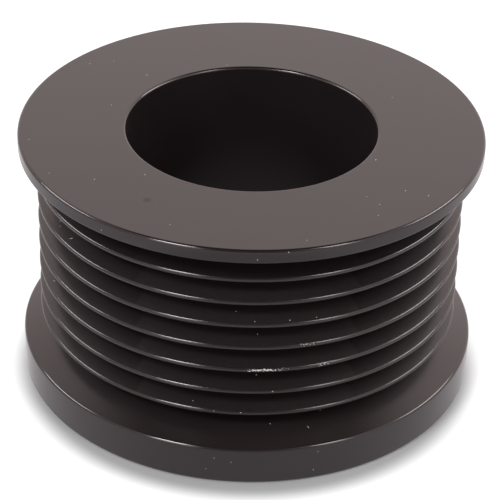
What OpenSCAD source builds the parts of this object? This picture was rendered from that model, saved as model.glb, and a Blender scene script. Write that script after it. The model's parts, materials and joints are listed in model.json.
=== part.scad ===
// Ribbed belt pulley
// One piece turned from bar: a belt track of V grooves between two flanges, with a plain through bore.
// The axis is Z. The rear face lies on Z = 0 and the front face is uppermost.

/* [Belt track] */
// Number of belt grooves between the flanges
groove_count = 8; // [3:1:12]
// Distance from the middle of one groove to the next
groove_pitch = 3.56; // [3.2:0.01:5]
// Full angle between the two walls of a groove
groove_angle = 40; // [36:1:44]
// Rounding at the bottom of each groove
groove_root_r = 0.45; // [0.2:0.01:0.6]
// Diameter over the tops of the ribs
rib_d = 60; // [56:0.1:90]
// Width of a rib's top, measured between its sharp corners
rib_top_w = 0.53; // [0.51:0.01:1]
// Rounding of the two corners of a rib's top
rib_tip_r = 0.36; // [0.1:0.01:0.37]

/* [Front flange] */
// Height of the front flange above the rib tops
front_flange_h = 2.5; // [1:0.1:8]
// Width of the front flange's rim
front_rim_w = 1.9; // [1.2:0.1:8]
// Lean of the front flange's inner wall from a plane square to the axis
front_wall_angle = 20.5; // [15:0.5:35]

/* [Rear flange] */
// Height of the rear flange above the rib tops
rear_flange_h = 2.5; // [1:0.1:8]
// Width of the rear flange's rim
rear_rim_w = 5.52; // [1.2:0.02:12]
// Lean of the rear flange's inner wall from a plane square to the axis
rear_wall_angle = 20.5; // [15:0.5:35]

/* [Bore] */
// Diameter of the through bore
bore_d = 35; // [12:0.1:44]

/* [Edges] */
// Rounding where each end face meets its rim and the bore
face_edge_r = 0.42; // [0.1:0.02:0.6]
// Rounding of the front rim's corner on the belt side
front_belt_edge_r = 0.22; // [0.05:0.01:0.3]
// Rounding of the rear rim's corner on the belt side
rear_belt_edge_r = 0.46; // [0.05:0.01:0.6]

/* [Hidden] */

// Facets of the turned surfaces
$fn = 180;
// Largest turn between two neighbouring points of a rounded corner
arc_step = 15;
// Finish: black anodised aluminium
anodised_black = [0.09, 0.085, 0.085];

bore_r = bore_d / 2;
rib_r = rib_d / 2;
front_r = rib_r + front_flange_h;
rear_r = rib_r + rear_flange_h;

// The walls of a groove would meet at this radius if its bottom were sharp
groove_mouth_w = groove_pitch - rib_top_w;
apex_r = rib_r - groove_mouth_w / 2 / tan(groove_angle / 2);
// The two roundings of a rib's top stay just short of meeting, so a sliver of flat is left
tip_r = min(rib_tip_r, 0.98 * rib_top_w / 2 * tan(45 + groove_angle / 4));

// Heights along the axis, worked upwards from the rear face
first_groove_z = rear_rim_w + (rear_r - apex_r) * tan(rear_wall_angle);
last_groove_z = first_groove_z + (groove_count - 1) * groove_pitch;
front_rim_z = last_groove_z + (front_r - apex_r) * tan(front_wall_angle);
pulley_w = front_rim_z + front_rim_w;

// Turns a sharp corner into an arc of radius r that touches both of its sides
function corner_arc(before, corner, after, r) =
    let (
        to_before = (before - corner) / norm(before - corner),
        to_after = (after - corner) / norm(after - corner),
        half_angle = acos(to_before * to_after) / 2,
        bisector = (to_before + to_after) / norm(to_before + to_after),
        centre = corner + bisector * r / sin(half_angle),
        spoke = corner + to_before * r / tan(half_angle) - centre,
        side = cross(to_after, to_before) > 0 ? 1 : -1,
        turn = side * (180 - 2 * half_angle),
        steps = ceil(abs(turn) / arc_step)
    )
    [for (i = [0 : steps])
        let (a = turn * i / steps)
        centre + [spoke.x * cos(a) - spoke.y * sin(a), spoke.x * sin(a) + spoke.y * cos(a)]];

// Rounds every corner of a closed outline, where each corner is [point, rounding]
function rounded(corners) =
    let (n = len(corners))
    [for (i = [0 : n - 1])
        let (
            before = corners[(i + n - 1) % n][0],
            after = corners[(i + 1) % n][0]
        )
        each corner_arc(before, corners[i][0], after, corners[i][1])];

// Corners of the belt track from the rear groove to the front one, as [[radius, height], rounding]
function track_corners() =
    [for (i = [0 : groove_count - 1])
        let (z = first_groove_z + i * groove_pitch)
        each [
            if (i > 0) [[rib_r, z - groove_mouth_w / 2], tip_r],
            [[apex_r, z], groove_root_r],
            if (i < groove_count - 1) [[rib_r, z + groove_mouth_w / 2], tip_r]
        ]];

// Half of the pulley's section, which turns about the axis
module pulley_section() {
    corners = concat(
        [
            [[bore_r, 0], face_edge_r],
            [[rear_r, 0], face_edge_r],
            [[rear_r, rear_rim_w], rear_belt_edge_r]
        ],
        track_corners(),
        [
            [[front_r, front_rim_z], front_belt_edge_r],
            [[front_r, pulley_w], face_edge_r],
            [[bore_r, pulley_w], face_edge_r]
        ]
    );
    polygon(rounded(corners));
}

module pulley() {
    color(anodised_black)
        rotate_extrude()
            pulley_section();
}

pulley();
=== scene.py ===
import json
import math
import random
from collections import namedtuple

import bpy
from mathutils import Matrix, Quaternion, Vector


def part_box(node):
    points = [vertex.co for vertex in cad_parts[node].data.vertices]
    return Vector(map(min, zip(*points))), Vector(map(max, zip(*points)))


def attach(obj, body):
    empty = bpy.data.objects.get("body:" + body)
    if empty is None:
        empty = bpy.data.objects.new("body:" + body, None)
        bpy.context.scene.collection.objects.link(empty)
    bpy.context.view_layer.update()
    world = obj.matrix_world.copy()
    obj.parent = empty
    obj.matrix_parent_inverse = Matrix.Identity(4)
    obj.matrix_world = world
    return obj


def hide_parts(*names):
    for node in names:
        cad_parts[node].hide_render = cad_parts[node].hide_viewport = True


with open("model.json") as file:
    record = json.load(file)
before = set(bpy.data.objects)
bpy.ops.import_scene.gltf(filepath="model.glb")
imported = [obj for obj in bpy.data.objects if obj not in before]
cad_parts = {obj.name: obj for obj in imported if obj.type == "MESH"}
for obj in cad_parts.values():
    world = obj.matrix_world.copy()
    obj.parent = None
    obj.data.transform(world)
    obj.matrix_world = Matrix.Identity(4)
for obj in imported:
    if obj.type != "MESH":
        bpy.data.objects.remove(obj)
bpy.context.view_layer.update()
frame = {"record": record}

bl_info = {
    "name": "Ribbed Belt Pulley",
    "version": (1, 0, 0),
    "blender": (4, 5, 0),
    "location": "3D View > Sidebar > Pulley",
    "description": "Turns, marks and stages a black anodised ribbed belt pulley",
    "category": "Object",
}

MM = 0.001

# What the frame gives: its names, and the sizes that the scene takes from the CAD part.
ROOT_BODY = "root"
CAD_NODE = "pulley"
CAD_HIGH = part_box(CAD_NODE)[1]
FLANGE_RADIUS = CAD_HIGH.x
PULLEY_WIDTH = CAD_HIGH.z
BORE_MOUNT = next(mount for mount in frame["record"]["mounts"] if mount["name"] == "bore")
BORE_RADIUS = BORE_MOUNT["dims"]["r_mm"] * MM

# The scene's own pieces, and the marks that the body carries for its material.
BODY_NAME = "pulley_body"
DUST_NAME = "dust_specks"
WALL_MARK = "turned_wall"
TIP_MARK = "rib_tip"
BARE_MARK = "bare_metal"
# A mark over this level counts as set.
MARKED = 0.5

# The front wall's slope. The rear wall's slope follows from the pulley's width.
FRONT_WALL_LEAN = math.tan(math.radians(20.5))
# Kinds of corner in the section, in the order that they are rounded, with the segments of each arc.
CORNER_SEGMENTS = {
    "face_edge": 6,
    "front_belt_edge": 4,
    "rear_belt_edge": 6,
    "rib_tip": 4,
    "groove_root": 6,
}

# The turned mesh is finer over the arc that faces the camera, where the bruised ribs are.
FRONT_AZIMUTH = math.radians(-90)
FINE_ARC = math.radians(60)
FINE_STEPS = 300
COARSE_STEPS = 250

# How near two points are merged, a corner is found, and a point counts as on a wall.
MERGE_DISTANCE = 1e-7
PLACE_TOLERANCE = 1e-6
WALL_TOLERANCE = 3e-6
# How far out from the sharp bottom of a groove its rounding counts as turned wall.
ROOT_REACH = 1.2 * MM
# How strongly the larger faces set the shading where faces meet. An even weight is 50.
FLAT_WEIGHT = 100

# Knocks on the ribs, with the rib counted from the front flange and degrees from the camera side.
Knock = namedtuple("Knock", "rib azimuth half_length density depth")
KNOCKS = (
    Knock(5, 3.6, 4.2, 1.00, 0.05 * MM),
    Knock(5, 9.2, 2.2, 0.50, 0.02 * MM),
    Knock(4, 15.8, 2.2, 0.52, 0.04 * MM),
    Knock(5, 20.6, 2.4, 0.36, 0.02 * MM),
)
# How far a knock reaches in from the rib's top and up and down it, and how far above its middle it lies.
KNOCK_REACH = 0.3 * MM
TIP_REACH = 0.22 * MM
TIP_RISE = 0.08 * MM
# First seed of the draws that pick the struck points of each knock.
KNOCK_SEED = 11
# How evenly the struck metal is pushed about, and how much of that is along the surface normal.
RAGGED_EVEN = 0.7
RAGGED_NORMAL = 0.4

# Dust on the front face: degrees from the camera side, radius and size across in mm.
FACE_SPECKS = (
    (-168, 18.5, 0.14), (-133, 21.0, 0.21), (-132, 27.5, 0.14), (-104, 20.5, 0.15), (-80, 31.0, 0.18),
    (-62, 30.5, 0.14), (-53, 26.0, 0.17), (-45, 20.0, 0.20), (-21, 28.5, 0.13), (14, 30.5, 0.15),
    (36, 28.5, 0.15), (40, 24.0, 0.13), (40, 26.5, 0.17), (51, 26.5, 0.19), (53, 29.5, 0.19),
    (63, 19.0, 0.20), (115, 22.0, 0.15),
)
# Dust on the rims and walls: degrees from the camera side, radius, height and size across in mm.
SIDE_SPECKS = (
    (2, 32.5, 36.0, 0.16), (9, 32.5, 37.0, 0.16), (5, 27.5, 32.5, 0.15), (-65, 28.5, 28.5, 0.18),
    (-63, 29.0, 28.5, 0.16), (-3, 28.0, 25.0, 0.15), (2, 29.5, 24.5, 0.15), (11, 29.5, 24.5, 0.18),
    (18, 29.5, 24.5, 0.15), (3, 28.0, 21.5, 0.15), (3, 27.5, 14.5, 0.22), (7, 30.0, 13.5, 0.16),
    (-9, 27.0, 11.0, 0.15), (-14, 29.0, 10.5, 0.16), (-8, 30.0, 10.0, 0.15), (22, 27.5, 7.5, 0.18),
    (7, 28.5, 7.0, 0.18), (-7, 32.5, 4.0, 0.15), (18, 32.5, 4.5, 0.15), (-3, 32.5, 3.5, 0.16),
    (-9, 32.5, 2.0, 0.15), (17, 32.5, 1.5, 0.16),
)
# Lint: degrees from the camera side, radius, height and width in mm, and how many times it is stretched.
LINT = (
    (-126, 29.5, 37.5, 0.15, 1.6), (-36, 32.5, 36.0, 0.15, 1.4), (-56, 29.0, 28.5, 0.19, 3.0),
    (-69, 29.0, 17.5, 0.19, 3.0), (-1, 30.0, 10.0, 0.16, 1.3), (17, 29.5, 6.5, 0.16, 3.5),
)
# A speck's crumpling and thickness as shares of its size, and its turn from the speck before it.
SPECK_CRUMPLE = 0.15
SPECK_FLATNESS = 0.5
SPECK_TURN = math.radians(137.5)

# The film's gloss, and how much lighter its dye is where it has faded.
FILM_IOR = 1.54
DYE_FADE = 1.3
# Scales of the patterns, in about so many features a metre.
TURNING_SCALE = 4200.0
SMEAR_SCALE = 60.0
GRAIN_SCALE = 3200.0
CLUMP_SCALE = 9000.0
# The grain in a knock is finer along the axis than round it.
GRAIN_STRETCH = (1, 1, 2.5)
# Depth of the turning marks, and how strongly they show on the faces and on the walls.
TURNING_DEPTH = 0.008 * MM
FACE_CUT = 0.03
WALL_CUT = 0.12
# Depth of the torn grain in a knock.
GRAIN_DEPTH = 0.04 * MM
# Handling smears the film's gloss: the pattern's range, and the change in roughness.
SMEAR_RANGE = (0.3, 0.7)
SMEAR_CHANGE = (-0.02, 0.03)
# The tool's chatter on the rib tops: the grain's range, and the roughness that it adds.
CHATTER_RANGE = (0.40, 0.65)
TIP_CHATTER = 0.08
# The film breaks where the grain rises over a level that falls as the damage grows. The edge softens
# the break, and the struck range keeps it inside the knocks.
DAMAGE_RANGE = (0.05, 1.0)
BREAK_LEVEL = (0.70, 0.40)
BREAK_EDGE = 0.05
STRUCK_RANGE = (0.02, 0.10)
# Smudges on the front face: place, extent and how much rougher the film looks there.
SMUDGES = (
    (Vector((-13.49, -20.65, 37.32)) * MM, 1.05 * MM, 0.38),
    (Vector((-12.67, -21.37, 37.32)) * MM, 0.55 * MM, 0.20),
)
# Share of a smudge's extent that is evenly dull.
SMUDGE_CORE = 0.2
# Dust is this much darker in a cloudy pattern, and nearly without gloss.
DUST_DARK_SHARE = 0.45
DUST_ROUGHNESS = 0.95
DUST_SPECULAR = 0.2

# Soft boxes: azimuth from +X, elevation, width and height are degrees as seen from the pulley.
SoftBox = namedtuple("SoftBox", "name azimuth elevation width height radiance")
SOFT_BOXES = (
    SoftBox("box_front_left", 236, 22, 22, 30, 2.6),
    SoftBox("box_front_right", 315, 27, 14, 24, 2.4),
    SoftBox("box_left", 172, 26, 22, 28, 0.5),
    SoftBox("box_right", 12, 26, 24, 28, 0.6),
    SoftBox("spot_front_left", 229.5, 46, 13, 14, 26.0),
    SoftBox("spot_front_right", 317, 46, 11, 13, 13.0),
    SoftBox("strip_left", 168, 33, 32, 9, 13.0),
    SoftBox("strip_right", 14, 33, 34, 9, 12.0),
)
# How far away the lamps hang, in metres, and the point that they face.
LAMP_DISTANCE = 1.2
LAMP_AIM = Vector((0, 0, 17 * MM))

FLOOR_SIZE = 8.0
# A shadow painted on the paper round the pulley's foot: it lies a little towards the camera, and is a
# little wider than the pulley.
PAINTED_SHADOW_MIDDLE = Vector((0, -3.0 * MM, 0))
PAINTED_SHADOW_SPREAD = 0.25 * MM
# Shade painted on the paper in front of the pulley, seen only in reflections: its middle, and the
# distances over which it fades.
FRONT_SHADE = Vector((0, -78 * MM, 0))
FRONT_SHADE_RANGE = (25 * MM, 60 * MM)
# Share of the paper's glow in reflections that is left under the pulley, where shade is painted, and the
# tint of the glow in reflections.
UNDER_PULLEY_SHADED_GLOW = 0.5
PAPER_TINT = (1.0, 0.94, 0.98)
WHITE = (1.0, 1.0, 1.0)

# Light tent: radiance of its back, sides, camera side and roof.
TENT_BACK = 1.40
TENT_SIDE = 1.05
TENT_FRONT = 0.33
TENT_ROOF = 0.04
# The walls are dimmer to the left and brighter to the right by these factors.
TENT_LEFT = 0.78
TENT_RIGHT = 1.15
# Where the camera side and the back pass into the sides, by the direction's Y, and the walls into the
# roof, by its Z.
TENT_FRONT_EDGE = (-0.97, -0.75)
TENT_BACK_EDGE = (0.45, 0.75)
TENT_TOP = (0.76, 0.91)
TENT_TINT = (1.0, 0.893, 0.85)

SENSOR_WIDTH = 36.0
NEAREST_SEEN = 1 * MM


def length(name, description, default):
    """A size in metres that the sidebar shows in the scene's own unit."""
    return bpy.props.FloatProperty(
        name=name, description=description, default=default, min=0.0, precision=5, unit="LENGTH"
    )


def angle(name, description, degrees):
    """An angle that the sidebar shows in degrees."""
    return bpy.props.FloatProperty(
        name=name, description=description, default=math.radians(degrees), subtype="ANGLE"
    )


def colour(name, description, default):
    """A linear colour with a picker in the sidebar."""
    return bpy.props.FloatVectorProperty(
        name=name, description=description, default=default, size=3, min=0.0, max=1.0, subtype="COLOR"
    )


def share(name, description, default):
    """A value from none to all."""
    return bpy.props.FloatProperty(
        name=name, description=description, default=default, min=0.0, max=1.0, subtype="FACTOR"
    )


def place(name, description, default):
    """A point in the scene."""
    return bpy.props.FloatVectorProperty(
        name=name, description=description, default=default, size=3, subtype="XYZ", unit="LENGTH"
    )


class PulleySizes(bpy.types.PropertyGroup):
    """Sizes of the turned section. The flange radius, width and bore come from the frame."""

    groove_count: bpy.props.IntProperty(
        name="Grooves", description="Belt grooves between the flanges", default=8, min=3, max=12
    )
    groove_pitch: length("Groove pitch", "From the middle of one groove to the next", 3.56 * MM)
    groove_angle: angle("Groove angle", "Full angle between the walls of a groove", 40)
    root_radius: length("Root radius", "Rounding at the bottom of each groove", 0.45 * MM)
    rib_top: length("Rib top", "Width of a rib's top between its sharp corners", 0.53 * MM)
    rib_tip_radius: length("Rib tip radius", "Rounding of the corners of a rib's top", 0.36 * MM)
    front_flange: length("Front flange", "Height of the front flange above the ribs", 2.5 * MM)
    front_rim: length("Front rim", "Width of the front flange's rim", 1.9 * MM)
    rear_flange: length("Rear flange", "Height of the rear flange above the ribs", 2.5 * MM)
    rear_rim: length("Rear rim", "Width of the rear flange's rim", 5.52 * MM)
    face_edge: length("Face edge", "Rounding where an end face meets its rim and the bore", 0.42 * MM)
    front_belt_edge: length("Front belt edge", "Rounding of the front rim's belt side", 0.22 * MM)
    rear_belt_edge: length("Rear belt edge", "Rounding of the rear rim's belt side", 0.46 * MM)


class PulleyFinish(bpy.types.PropertyGroup):
    """Colours and gloss of the pulley's surfaces."""

    anodised: colour("Anodised black", "Dyed oxide film on the aluminium", (0.0078, 0.0055, 0.0060))
    anodised_sheen: colour("Sheen", "Tint of the film's reflection seen straight on", (1.0, 0.925, 0.955))
    bare_metal: colour("Bare metal", "Aluminium where a knock has broken the film", (0.86, 0.85, 0.84))
    dust: colour("Dust", "Specks and lint that lie on the pulley", (0.56, 0.54, 0.53))
    face_roughness: share("Face roughness", "Roughness of the faces, rims and edges", 0.12)
    wall_roughness: share("Wall roughness", "Roughness of the bore and the turned walls", 0.30)
    metal_roughness: share("Metal roughness", "Roughness of the bare metal in a knock", 0.35)


class StageSettings(bpy.types.PropertyGroup):
    """Camera and floor."""

    lens: bpy.props.FloatProperty(
        name="Lens",
        description="Focal length on a 36 mm sensor",
        default=156.02,
        min=1.0,
        subtype="DISTANCE_CAMERA",
    )
    camera_place: place("Camera", "Where the camera stands", (0.0, -263.81 * MM, 184.17 * MM))
    camera_aim: place("Aim", "Point that the camera looks at", (0.18 * MM, 0.0, 16.87 * MM))
    camera_roll: angle("Roll", "Turn of the camera about its line of sight", 1.45)
    floor_colour: colour("Floor", "Paper that the pulley stands on", (0.285, 0.291, 0.298))
    floor_glow: share("Floor glow", "Light of the paper itself, in reflections only", 0.55)
    floor_white: share("Floor white", "Light of the paper itself, as the camera sees it", 0.78)
    # Glow in reflections where shade is painted on the paper in front of the pulley.
    front_glow: share("Front glow", "Floor glow on the dim paper in front of the pulley", 0.29)
    # A shadow is painted on the paper round the pulley's foot: the paper's whiteness there, and half the
    # width of its soft edge.
    painted_foot_shadow: share("Foot shadow", "Floor white under the pulley and close to its foot", 0.05)
    painted_shadow_reach: length("Foot reach", "Half the width of the foot shadow's soft edge", 2.1 * MM)


def deselect_all():
    """Leaves object mode with nothing selected, so that an operator acts only on what follows."""
    if bpy.context.object and bpy.context.object.mode != "OBJECT":
        bpy.ops.object.mode_set(mode="OBJECT")
    bpy.ops.object.select_all(action="DESELECT")


def select_only(*pieces):
    """Selects these pieces alone and makes the first one active."""
    deselect_all()
    for piece in pieces:
        piece.select_set(True)
    bpy.context.view_layer.objects.active = pieces[0]


def join_pieces(pieces, name):
    """Joins the pieces into one object with its own name."""
    select_only(*pieces)
    bpy.ops.object.join()
    joined = bpy.context.object
    joined.name = joined.data.name = name
    return joined


def find_piece(name):
    """A piece that an earlier step has made."""
    piece = bpy.data.objects.get(name)
    if piece is None:
        raise RuntimeError(f"{name} has to be made first")
    return piece


def select_vertices(piece, wanted):
    """Enters edit mode with only the vertices that pass the test selected."""
    bpy.ops.object.mode_set(mode="EDIT")
    bpy.ops.mesh.select_mode(type="VERT")
    bpy.ops.mesh.select_all(action="DESELECT")
    bpy.ops.object.mode_set(mode="OBJECT")
    for vertex in piece.data.vertices:
        vertex.select = wanted(vertex)
    bpy.ops.object.mode_set(mode="EDIT")


def lies_at(*points):
    """A test for the vertices that lie at one of these points."""
    return lambda vertex: any((vertex.co - point).length < PLACE_TOLERANCE for point in points)


def section_corners(sizes):
    """The sharp corners of half the pulley's section, in order, as (kind, radius, height)."""
    rib_r = FLANGE_RADIUS - sizes.front_flange
    rear_r = rib_r + sizes.rear_flange
    half_mouth = (sizes.groove_pitch - sizes.rib_top) / 2
    apex_r = rib_r - half_mouth / math.tan(sizes.groove_angle / 2)
    track = sizes.groove_pitch * (sizes.groove_count - 1)
    spare = PULLEY_WIDTH - sizes.front_rim - sizes.rear_rim - track
    # The rear wall takes up what the front wall leaves of the spare width.
    rear_wall = spare - (FLANGE_RADIUS - apex_r) * FRONT_WALL_LEAN
    first = sizes.rear_rim + rear_wall
    corners = [
        ("face_edge", BORE_RADIUS, 0.0),
        ("face_edge", rear_r, 0.0),
        ("rear_belt_edge", rear_r, sizes.rear_rim),
    ]
    for groove in range(sizes.groove_count):
        middle = first + groove * sizes.groove_pitch
        if groove > 0:
            corners.append(("rib_tip", rib_r, middle - half_mouth))
        corners.append(("groove_root", apex_r, middle))
        if groove < sizes.groove_count - 1:
            corners.append(("rib_tip", rib_r, middle + half_mouth))
    corners += [
        ("front_belt_edge", FLANGE_RADIUS, PULLEY_WIDTH - sizes.front_rim),
        ("face_edge", FLANGE_RADIUS, PULLEY_WIDTH),
        ("face_edge", BORE_RADIUS, PULLEY_WIDTH),
    ]
    return corners


def rib_radius(corners):
    """Radius over the tops of the ribs."""
    return max(r for kind, r, _ in corners if kind == "rib_tip")


def rib_middles(corners):
    """Heights of the ribs' middles, counted from the front flange."""
    tips = sorted((z for kind, _, z in corners if kind == "rib_tip"), reverse=True)
    return [(upper + lower) / 2 for upper, lower in zip(tips[::2], tips[1::2])]


def draw_section(corners):
    """Draws the closed outline of the section on the XZ plane, corner by corner."""
    deselect_all()
    start = Vector((corners[0][1], 0.0, corners[0][2]))
    bpy.ops.mesh.primitive_plane_add(size=MM)
    piece = bpy.context.object
    bpy.ops.object.mode_set(mode="EDIT")
    bpy.ops.mesh.select_all(action="SELECT")
    bpy.ops.mesh.merge(type="CENTER")
    bpy.ops.transform.translate(value=start)
    here = start
    for _, radius, height in corners[1:]:
        there = Vector((radius, 0.0, height))
        bpy.ops.mesh.extrude_vertices_move(TRANSFORM_OT_translate={"value": there - here})
        here = there
    select_vertices(piece, lies_at(start, here))
    bpy.ops.mesh.edge_face_add()
    return piece


def corner_half_angle(corners, index):
    """Half of the inner angle at a corner of the closed outline."""
    here, before, after = (
        Vector(corners[i % len(corners)][1:]) for i in (index, index - 1, index + 1)
    )
    return (before - here).angle(after - here) / 2


def arc_profile(half_angle):
    """The bevel profile whose middle lies where a true arc in this corner has its middle."""
    middle = (1 / math.sin(half_angle) - 1) * math.tan(half_angle) / (2 * math.cos(half_angle))
    power = math.log(0.5) / math.log(1 - middle)
    return 0.25 ** (1 / power)


def round_corners(piece, corners, kind, radius):
    """Bevels all the outline's corners of one kind to an arc of that radius."""
    for index, (name, r, z) in enumerate(corners):
        if name != kind:
            continue
        half_angle = corner_half_angle(corners, index)
        select_vertices(piece, lies_at(Vector((r, 0.0, z))))
        bpy.ops.mesh.bevel(
            affect="VERTICES",
            offset_type="OFFSET",
            offset=radius / math.tan(half_angle),
            segments=CORNER_SEGMENTS[kind],
            profile=arc_profile(half_angle),
            clamp_overlap=False,
        )


def turned_arc(section, start, turn, steps):
    """Sweeps a copy of the section about the axis, from one azimuth through an angle."""
    select_only(section)
    bpy.ops.object.duplicate()
    arc = bpy.context.object
    arc.rotation_euler.z = start
    bpy.ops.object.transform_apply(location=False, rotation=True, scale=False)
    sweep = arc.modifiers.new("Turn about the axis", "SCREW")
    sweep.axis = "Z"
    sweep.angle = turn
    sweep.steps = sweep.render_steps = steps
    bpy.ops.object.modifier_apply(modifier=sweep.name)
    return arc


def mark_surfaces(body, corners, sizes):
    """Marks the bore and the belt track's walls as turned walls, and the tops of the ribs as tips."""
    walls = []
    for (kind, r0, z0), (next_kind, r1, z1) in zip(corners, corners[1:]):
        if "groove_root" in (kind, next_kind):
            walls.append((Vector((r0, z0)), Vector((r1, z1))))
    root_limit = min(r for kind, r, _ in corners if kind == "groove_root") + ROOT_REACH
    rib_r = rib_radius(corners)
    edge = sizes.face_edge / 2

    def on_wall(co):
        point = Vector((math.hypot(co.x, co.y), co.z))
        if point.x < root_limit and edge < co.z < PULLEY_WIDTH - edge:
            return True
        for start, end in walls:
            low, high = min(start.y, end.y), max(start.y, end.y)
            if low - WALL_TOLERANCE < point.y < high + WALL_TOLERANCE:
                across = (end - start).orthogonal().normalized()
                if abs((point - start).dot(across)) < WALL_TOLERANCE:
                    return True
        return False

    def on_tip(co):
        between_rims = sizes.rear_rim < co.z < PULLEY_WIDTH - sizes.front_rim
        return between_rims and abs(math.hypot(co.x, co.y) - rib_r) < KNOCK_REACH

    for name, test in ((WALL_MARK, on_wall), (TIP_MARK, on_tip)):
        marks = body.data.attributes.new(name, "FLOAT", "POINT")
        marks.data.foreach_set("value", [float(test(vertex.co)) for vertex in body.data.vertices])


def settle_normals(body):
    """Shades the turned mesh smoothly, with flat walls flat right up to their roundings."""
    select_only(body)
    if body.data.has_custom_normals:
        bpy.ops.mesh.customdata_custom_splitnormals_clear()
    bpy.ops.object.shade_smooth()
    flats = body.modifiers.new("Flat walls stay flat", "WEIGHTED_NORMAL")
    flats.weight = FLAT_WEIGHT
    bpy.ops.object.modifier_apply(modifier=flats.name)


class PULLEY_OT_turn_body(bpy.types.Operator):
    """Draw the pulley's section, round its corners and turn it about the axis"""

    bl_idname = "pulley.turn_body"
    bl_label = "Turn Body"
    bl_options = {"REGISTER", "UNDO"}

    def execute(self, context):
        sizes = context.scene.pulley_sizes
        radii = {
            "face_edge": sizes.face_edge,
            "front_belt_edge": sizes.front_belt_edge,
            "rear_belt_edge": sizes.rear_belt_edge,
            "rib_tip": sizes.rib_tip_radius,
            "groove_root": sizes.root_radius,
        }
        corners = section_corners(sizes)
        section = draw_section(corners)
        for kind in CORNER_SEGMENTS:
            round_corners(section, corners, kind, radii[kind])
        fine_start = FRONT_AZIMUTH - FINE_ARC / 2
        fine_end = FRONT_AZIMUTH + FINE_ARC / 2
        arcs = [
            turned_arc(section, fine_start, FINE_ARC, FINE_STEPS),
            turned_arc(section, fine_end, math.tau - FINE_ARC, COARSE_STEPS),
        ]
        bpy.data.objects.remove(section)
        body = join_pieces(arcs, BODY_NAME)
        bpy.ops.object.mode_set(mode="EDIT")
        bpy.ops.mesh.select_all(action="SELECT")
        bpy.ops.mesh.remove_doubles(threshold=MERGE_DISTANCE)
        bpy.ops.mesh.normals_make_consistent(inside=False)
        bpy.ops.object.mode_set(mode="OBJECT")
        mark_surfaces(body, corners, sizes)
        settle_normals(body)
        body.data.materials.append(anodised_material(context.scene.pulley_finish))
        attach(body, ROOT_BODY)
        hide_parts(CAD_NODE)
        return {"FINISHED"}


def knock_damage(co, knock, height, rib_r):
    """How much of the film a knock breaks at a point of its rib, or None where it doesn't reach."""
    across = abs(co.z - height) / TIP_REACH
    if across > 1 or math.hypot(co.x, co.y) < rib_r - KNOCK_REACH:
        return None
    middle = FRONT_AZIMUTH + math.radians(knock.azimuth)
    off = abs(math.remainder(math.atan2(co.y, co.x) - middle, math.tau))
    off /= math.radians(knock.half_length)
    if off > 1:
        return None
    return knock.density * (1 - off**4) * (1 - across**2)


class PULLEY_OT_bruise_ribs(bpy.types.Operator):
    """Knock the ribs where the belt side was struck, and break the film there"""

    bl_idname = "pulley.bruise_ribs"
    bl_label = "Bruise Ribs"
    bl_options = {"REGISTER", "UNDO"}

    def execute(self, context):
        body = find_piece(BODY_NAME)
        corners = section_corners(context.scene.pulley_sizes)
        rib_r = rib_radius(corners)
        middles = rib_middles(corners)
        select_only(body)
        on_wall = [mark.value > MARKED for mark in body.data.attributes[WALL_MARK].data]
        bare = [0.0] * len(body.data.vertices)
        for number, knock in enumerate(KNOCKS):
            draw = random.Random(number + KNOCK_SEED)
            height = middles[knock.rib - 1] + TIP_RISE
            struck = set()
            for vertex in body.data.vertices:
                if on_wall[vertex.index]:
                    continue
                damage = knock_damage(vertex.co, knock, height, rib_r)
                if damage is None:
                    continue
                bare[vertex.index] = max(bare[vertex.index], damage)
                if draw.random() < damage:
                    struck.add(vertex.index)
            select_vertices(body, lambda vertex: vertex.index in struck)
            bpy.ops.transform.shrink_fatten(value=-knock.depth)
            bpy.ops.transform.vertex_random(
                offset=knock.depth, uniform=RAGGED_EVEN, normal=RAGGED_NORMAL, seed=number
            )
            bpy.ops.object.mode_set(mode="OBJECT")
        marks = body.data.attributes.new(BARE_MARK, "FLOAT", "POINT")
        marks.data.foreach_set("value", bare)
        settle_normals(body)
        return {"FINISHED"}


def add_speck(number, seat, normal, size, stretch):
    """One crumpled flake that lies on the surface, longer than wide where it is lint."""
    deselect_all()
    bpy.ops.mesh.primitive_ico_sphere_add(subdivisions=1, radius=size / 2)
    speck = bpy.context.object
    bpy.ops.object.mode_set(mode="EDIT")
    bpy.ops.mesh.select_all(action="SELECT")
    bpy.ops.transform.vertex_random(offset=size * SPECK_CRUMPLE, uniform=1.0, normal=0.0, seed=number)
    bpy.ops.transform.resize(value=(stretch, 1.0 / math.sqrt(stretch), SPECK_FLATNESS))
    bpy.ops.object.mode_set(mode="OBJECT")
    turn = Quaternion((0, 0, 1), number * SPECK_TURN)
    speck.rotation_mode = "QUATERNION"
    speck.rotation_quaternion = normal.to_track_quat("Z", "Y") @ turn
    speck.location = seat
    bpy.ops.object.transform_apply(location=True, rotation=True, scale=True)
    return speck


class PULLEY_OT_scatter_dust(bpy.types.Operator):
    """Lay specks of dust and lint on the pulley"""

    bl_idname = "pulley.scatter_dust"
    bl_label = "Scatter Dust"
    bl_options = {"REGISTER", "UNDO"}

    def execute(self, context):
        body = find_piece(BODY_NAME)
        top = PULLEY_WIDTH / MM
        rows = [(azimuth, radius, top, size, 1.0) for azimuth, radius, size in FACE_SPECKS]
        rows += [(*speck, 1.0) for speck in SIDE_SPECKS]
        rows += LINT
        specks = []
        for number, (azimuth, radius, height, size, stretch) in enumerate(rows):
            around = FRONT_AZIMUTH + math.radians(azimuth)
            point = Vector((radius * math.cos(around), radius * math.sin(around), height)) * MM
            found, seat, normal, _ = body.closest_point_on_mesh(point)
            if not found:
                raise RuntimeError(f"no surface under speck {number}")
            specks.append(add_speck(number, seat, normal, size * MM, stretch))
        dust = join_pieces(specks, DUST_NAME)
        bpy.ops.object.transform_apply(location=True, rotation=True, scale=True)
        bpy.ops.object.shade_smooth()
        dust.data.materials.append(dust_material(context.scene.pulley_finish))
        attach(dust, ROOT_BODY)
        return {"FINISHED"}


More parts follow.
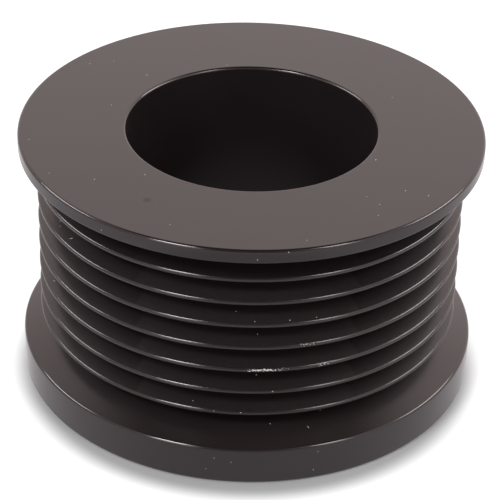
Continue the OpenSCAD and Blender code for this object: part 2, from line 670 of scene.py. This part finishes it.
def add_node(tree, kind, spot, inputs=None, **settings):
    """Adds a shader node at its spot in the editor, with settings, constants and links."""
    node = tree.nodes.new("ShaderNode" + kind)
    node.location = spot
    for name, value in settings.items():
        setattr(node, name, value)
    for name, value in (inputs or {}).items():
        if isinstance(value, bpy.types.NodeSocket):
            tree.links.new(value, node.inputs[name])
        else:
            node.inputs[name].default_value = value
    return node


def combine(tree, operation, spot, first, second):
    """Two values added, subtracted, multiplied or compared."""
    return add_node(tree, "Math", spot, {0: first, 1: second}, operation=operation).outputs[0]


def combine_vectors(tree, operation, spot, first, second):
    """Two vectors multiplied, as a vector, or the distance between them, as a value."""
    node = add_node(tree, "VectorMath", spot, {0: first, 1: second}, operation=operation)
    return node.outputs["Value" if operation == "DISTANCE" else "Vector"]


def vector_length(tree, spot, vector):
    """The length of a vector."""
    return add_node(tree, "VectorMath", spot, {0: vector}, operation="LENGTH").outputs["Value"]


def remap(tree, spot, value, source, target, smooth=False):
    """A value carried from one range to another and held at its ends."""
    ranges = {
        "From Min": source[0],
        "From Max": source[1],
        "To Min": target[0],
        "To Max": target[1],
    }
    node = add_node(
        tree, "MapRange", spot, {"Value": value, **ranges},
        interpolation_type="SMOOTHSTEP" if smooth else "LINEAR",
    )
    return node.outputs["Result"]


def noise(tree, spot, coords, scale, detail):
    """A cloudy pattern from 0 to 1."""
    node = add_node(tree, "TexNoise", spot, {"Vector": coords, "Scale": scale, "Detail": detail})
    return node.outputs["Fac"]


def surface_mark(tree, spot, name):
    """A mark that the body's vertices carry."""
    return add_node(tree, "Attribute", spot, attribute_name=name).outputs["Fac"]


def mix_values(tree, spot, factor, first, second):
    """A value between two others."""
    return add_node(tree, "Mix", spot, {0: factor, 2: first, 3: second}, data_type="FLOAT").outputs[0]


def mix_colours(tree, spot, factor, first, second):
    """A colour between two others."""
    return add_node(tree, "Mix", spot, {0: factor, 6: first, 7: second}, data_type="RGBA").outputs[2]


def opaque(linear_colour):
    """A colour with full alpha, as a socket takes it."""
    return (*linear_colour, 1.0)


def new_material(name):
    """An empty node material and its tree."""
    material = bpy.data.materials.new(name)
    material.use_nodes = True
    material.node_tree.nodes.clear()
    return material, material.node_tree


def turning_marks(tree, coords):
    """Fine rings left by the cutting tool, which follow the radius on a face and the height on a wall."""
    flat = combine_vectors(tree, "MULTIPLY", (-1300, 200), coords, (1, 1, 0))
    radius = vector_length(tree, (-1120, 200), flat)
    height = add_node(tree, "SeparateXYZ", (-1300, 0), {0: coords}).outputs["Z"]
    along = combine(tree, "ADD", (-940, 150), radius, height)
    rings = add_node(
        tree, "TexNoise", (-740, 250), {"W": along, "Scale": TURNING_SCALE, "Detail": 2.0},
        noise_dimensions="1D",
    )
    return rings.outputs["Fac"]


def broken_film(tree, grain):
    """1 where a knock has flaked the film off, in grains that close up as the damage grows."""
    bare = surface_mark(tree, (-1120, -450), BARE_MARK)
    spared = remap(tree, (-940, -400), bare, DAMAGE_RANGE, BREAK_LEVEL)
    excess = combine(tree, "SUBTRACT", (-840, -500), grain, spared)
    flaked = remap(tree, (-740, -500), excess, (0.0, BREAK_EDGE), (0.0, 1.0))
    struck = remap(tree, (-740, -750), bare, STRUCK_RANGE, (0.0, 1.0))
    return combine(tree, "MULTIPLY", (-580, -600), flaked, struck)


def film_roughness(tree, coords, wall, smear, grain, finish):
    """Roughness of the whole film: smears, chatter on the rib tops and smudges on the front face."""
    film = remap(tree, (-520, -250), wall, (0.0, 1.0), (finish.face_roughness, finish.wall_roughness))
    handled = remap(tree, (-520, -50), smear, SMEAR_RANGE, SMEAR_CHANGE)
    gloss = combine(tree, "ADD", (-320, -150), film, handled)
    tip = surface_mark(tree, (-1120, -850), TIP_MARK)
    chatter = remap(tree, (-740, -900), grain, CHATTER_RANGE, (0.0, TIP_CHATTER))
    worn = combine(tree, "MULTIPLY", (-520, -850), chatter, tip)
    roughness = combine(tree, "ADD", (-220, -300), gloss, worn)
    for row, (middle, extent, dulling) in enumerate(SMUDGES):
        level = -1050 - 200 * row
        away = combine_vectors(tree, "DISTANCE", (-720, level), coords, middle)
        fade = (extent * SMUDGE_CORE, extent)
        dull = remap(tree, (-520, level), away, fade, (dulling, 0.0), smooth=True)
        roughness = combine(tree, "ADD", (-320, level), roughness, dull)
    return roughness


def anodised_material(finish):
    """Black anodised aluminium: turning marks under a dyed film, with bare metal in the knocks."""
    material, tree = new_material("anodised_film")
    coords = add_node(tree, "TexCoord", (-1500, 0)).outputs["Object"]
    wall = surface_mark(tree, (-1120, -250), WALL_MARK)
    rings = turning_marks(tree, coords)
    smear = noise(tree, (-740, -50), coords, SMEAR_SCALE, 3.0)
    chip_coords = combine_vectors(tree, "MULTIPLY", (-1120, -650), coords, GRAIN_STRETCH)
    grain = noise(tree, (-940, -650), chip_coords, GRAIN_SCALE, 2.0)
    broken = broken_film(tree, grain)
    film = film_roughness(tree, coords, wall, smear, grain, finish)
    roughness = mix_values(tree, (-120, -200), broken, film, finish.metal_roughness)
    faded = [channel * DYE_FADE for channel in finish.anodised]
    dye = mix_colours(tree, (-320, 300), smear, opaque(finish.anodised), opaque(faded))
    base = mix_colours(tree, (-120, 250), broken, dye, opaque(finish.bare_metal))
    cut = remap(tree, (-520, 100), wall, (0.0, 1.0), (FACE_CUT, WALL_CUT))
    marks = add_node(
        tree, "Bump", (-320, 80), {"Height": rings, "Strength": cut, "Distance": TURNING_DEPTH}
    )
    torn = add_node(
        tree, "Bump", (-120, -450),
        {"Height": grain, "Strength": broken, "Distance": GRAIN_DEPTH, "Normal": marks.outputs[0]},
    )
    shader = add_node(
        tree, "BsdfPrincipled", (120, 100),
        {
            "Base Color": base,
            "Metallic": broken,
            "Roughness": roughness,
            "IOR": FILM_IOR,
            "Specular Tint": opaque(finish.anodised_sheen),
            "Normal": torn.outputs[0],
        },
    )
    add_node(tree, "OutputMaterial", (420, 100), {"Surface": shader.outputs[0]})
    return material


def dust_material(finish):
    """Pale fibrous dust."""
    material, tree = new_material("dust")
    coords = add_node(tree, "TexCoord", (-700, 0)).outputs["Object"]
    clumps = noise(tree, (-500, 0), coords, CLUMP_SCALE, 2.0)
    dark = [channel * DUST_DARK_SHARE for channel in finish.dust]
    shade = mix_colours(tree, (-300, 0), clumps, opaque(dark), opaque(finish.dust))
    shader = add_node(
        tree, "BsdfPrincipled", (-60, 0),
        {"Base Color": shade, "Roughness": DUST_ROUGHNESS, "Specular IOR Level": DUST_SPECULAR},
    )
    add_node(tree, "OutputMaterial", (240, 0), {"Surface": shader.outputs[0]})
    return material


def floor_material(stage):
    """White paper that stays white in the picture, with the lamps' shadow of the pulley, a shadow painted
    round its foot, and shade painted under and in front of it in reflections.
    """
    material, tree = new_material("studio_floor")
    # The paper's own light is only looked at, so it isn't sampled as a lamp.
    material.cycles.emission_sampling = "NONE"
    coords = add_node(tree, "TexCoord", (-900, 0)).outputs["Object"]
    path = add_node(tree, "LightPath", (-700, -350)).outputs
    # To the camera the paper's glow falls off towards the pulley's foot: a painted shadow, on top of the
    # shadow that the lamps cast on the diffuse paper.
    foot = FLANGE_RADIUS + PAINTED_SHADOW_SPREAD
    painted_shadow_edge = (foot - stage.painted_shadow_reach, foot + stage.painted_shadow_reach)
    whiteness = (stage.painted_foot_shadow, stage.floor_white)
    from_foot = combine_vectors(tree, "DISTANCE", (-700, -150), coords, PAINTED_SHADOW_MIDDLE)
    white = remap(tree, (-500, -100), from_foot, painted_shadow_edge, whiteness, smooth=True)
    direct = combine(tree, "MULTIPLY", (-300, -100), white, path["Is Camera Ray"])
    # In reflections the paper's glow is lower in front of the pulley: painted shade.
    glows = (stage.front_glow, stage.floor_glow)
    from_front = combine_vectors(tree, "DISTANCE", (-700, 200), coords, FRONT_SHADE)
    paper_glow = remap(tree, (-500, 250), from_front, FRONT_SHADE_RANGE, glows, smooth=True)
    # In reflections the paper's glow is dimmed under the pulley: painted shade.
    away = vector_length(tree, (-700, 0), coords)
    rim_edge = (FLANGE_RADIUS - MM, FLANGE_RADIUS)
    painted_under_shade = remap(tree, (-500, 450), away, rim_edge, (UNDER_PULLEY_SHADED_GLOW, 1.0))
    open_glow = combine(tree, "MULTIPLY", (-300, 300), paper_glow, painted_under_shade)
    gloss = combine(
        tree, "MAXIMUM", (-300, -300), path["Is Glossy Ray"], path["Is Transmission Ray"]
    )
    mirrored = combine(tree, "MULTIPLY", (-120, 0), open_glow, gloss)
    glow = combine(tree, "ADD", (40, 0), direct, mirrored)
    tint = mix_colours(tree, (40, -250), gloss, opaque(WHITE), opaque(PAPER_TINT))
    paper = add_node(tree, "BsdfDiffuse", (200, 150), {"Color": opaque(stage.floor_colour)})
    light = add_node(tree, "Emission", (200, -50), {"Color": tint, "Strength": glow})
    both = add_node(tree, "AddShader", (400, 0), {0: paper.outputs[0], 1: light.outputs[0]})
    add_node(tree, "OutputMaterial", (600, 0), {"Surface": both.outputs[0]})
    return material


def studio_world():
    """Surroundings of a light tent: bright walls, a dark roof and a dark side behind the camera."""
    world = bpy.data.worlds.new("studio_light")
    world.use_nodes = True
    tree = world.node_tree
    tree.nodes.clear()
    direction = add_node(tree, "TexCoord", (-900, 0)).outputs["Generated"]
    rise = add_node(tree, "SeparateXYZ", (-720, 0), {0: direction}).outputs["Z"]
    flat = combine_vectors(tree, "MULTIPLY", (-720, -200), direction, (1, 1, 0))
    level = add_node(tree, "VectorMath", (-540, -200), {0: flat}, operation="NORMALIZE")
    around = add_node(tree, "SeparateXYZ", (-360, -200), {0: level.outputs[0]}).outputs
    front_light = (TENT_FRONT, TENT_SIDE)
    back_light = (0.0, TENT_BACK - TENT_SIDE)
    front = remap(tree, (-180, -100), around["Y"], TENT_FRONT_EDGE, front_light, smooth=True)
    back = remap(tree, (-180, -350), around["Y"], TENT_BACK_EDGE, back_light, smooth=True)
    even_walls = combine(tree, "ADD", (0, -200), front, back)
    balance = remap(tree, (-180, -600), around["X"], (-1.0, 1.0), (TENT_LEFT, TENT_RIGHT))
    walls = combine(tree, "MULTIPLY", (90, -300), even_walls, balance)
    roof = remap(tree, (-180, 150), rise, TENT_TOP, (0.0, 1.0), smooth=True)
    tent = mix_values(tree, (180, 0), roof, walls, TENT_ROOF)
    sky = add_node(tree, "Background", (360, 0), {"Color": opaque(TENT_TINT), "Strength": tent})
    add_node(tree, "OutputWorld", (560, 0), {"Surface": sky.outputs[0]})
    return world


def hang_soft_box(box):
    """Hangs a rectangular lamp that fills its angles as seen from the pulley."""
    deselect_all()
    around, up = math.radians(box.azimuth), math.radians(box.elevation)
    level = math.cos(up)
    direction = Vector((level * math.cos(around), level * math.sin(around), math.sin(up)))
    bpy.ops.object.light_add(type="AREA", location=LAMP_AIM + direction * LAMP_DISTANCE)
    lamp = bpy.context.object
    lamp.name = lamp.data.name = box.name
    lamp.rotation_mode = "QUATERNION"
    lamp.rotation_quaternion = direction.to_track_quat("Z", "Y")
    lamp.data.shape = "RECTANGLE"
    lamp.data.size = 2 * LAMP_DISTANCE * math.tan(math.radians(box.width) / 2)
    lamp.data.size_y = 2 * LAMP_DISTANCE * math.tan(math.radians(box.height) / 2)
    lamp.data.energy = box.radiance * math.pi * lamp.data.size * lamp.data.size_y
    lamp.visible_camera = False


def place_camera(stage):
    """Stands the camera at its place, aims it and rolls it."""
    deselect_all()
    stand, aim = Vector(stage.camera_place), Vector(stage.camera_aim)
    bpy.ops.object.camera_add(location=stand)
    camera = bpy.context.object
    camera.name = camera.data.name = "studio_camera"
    camera.data.lens = stage.lens
    camera.data.sensor_width = SENSOR_WIDTH
    camera.data.clip_start = NEAREST_SEEN
    level = (aim - stand).to_track_quat("-Z", "Y")
    camera.rotation_mode = "QUATERNION"
    camera.rotation_quaternion = level @ Quaternion((0, 0, 1), stage.camera_roll)
    bpy.context.scene.camera = camera


class PULLEY_OT_stage(bpy.types.Operator):
    """Lay the floor, hang the lamps and stand the camera"""

    bl_idname = "pulley.stage"
    bl_label = "Set Stage"
    bl_options = {"REGISTER", "UNDO"}

    def execute(self, context):
        stage = context.scene.pulley_stage
        deselect_all()
        bpy.ops.mesh.primitive_plane_add(size=FLOOR_SIZE)
        floor = context.object
        floor.name = floor.data.name = "studio_floor"
        floor.data.materials.append(floor_material(stage))
        context.scene.world = studio_world()
        for box in SOFT_BOXES:
            hang_soft_box(box)
        place_camera(stage)
        context.scene.view_settings.view_transform = "Standard"
        return {"FINISHED"}


class PULLEY_PT_sidebar(bpy.types.Panel):
    """Lists the pulley's steps and sizes"""

    bl_idname = "PULLEY_PT_sidebar"
    bl_label = "Ribbed Belt Pulley"
    bl_space_type = "VIEW_3D"
    bl_region_type = "UI"
    bl_category = "Pulley"

    def draw(self, context):
        column = self.layout.column()
        for operator in OPERATORS:
            column.operator(operator.bl_idname)
        for group in GROUPS:
            settings = getattr(context.scene, group)
            box = self.layout.box()
            for name in settings.bl_rna.properties.keys():
                if name not in ("rna_type", "name"):
                    box.prop(settings, name)


GROUPS = {"pulley_sizes": PulleySizes, "pulley_finish": PulleyFinish, "pulley_stage": StageSettings}
OPERATORS = (PULLEY_OT_turn_body, PULLEY_OT_bruise_ribs, PULLEY_OT_scatter_dust, PULLEY_OT_stage)
CLASSES = (*GROUPS.values(), *OPERATORS, PULLEY_PT_sidebar)


def register():
    for cls in CLASSES:
        bpy.utils.register_class(cls)
    for name, cls in GROUPS.items():
        setattr(bpy.types.Scene, name, bpy.props.PointerProperty(type=cls))


def unregister():
    for name in GROUPS:
        delattr(bpy.types.Scene, name)
    for cls in reversed(CLASSES):
        bpy.utils.unregister_class(cls)


def main():
    register()
    bpy.ops.pulley.turn_body()
    bpy.ops.pulley.bruise_ribs()
    bpy.ops.pulley.scatter_dust()
    bpy.ops.pulley.stage()


if __name__ == "__main__":
    main()
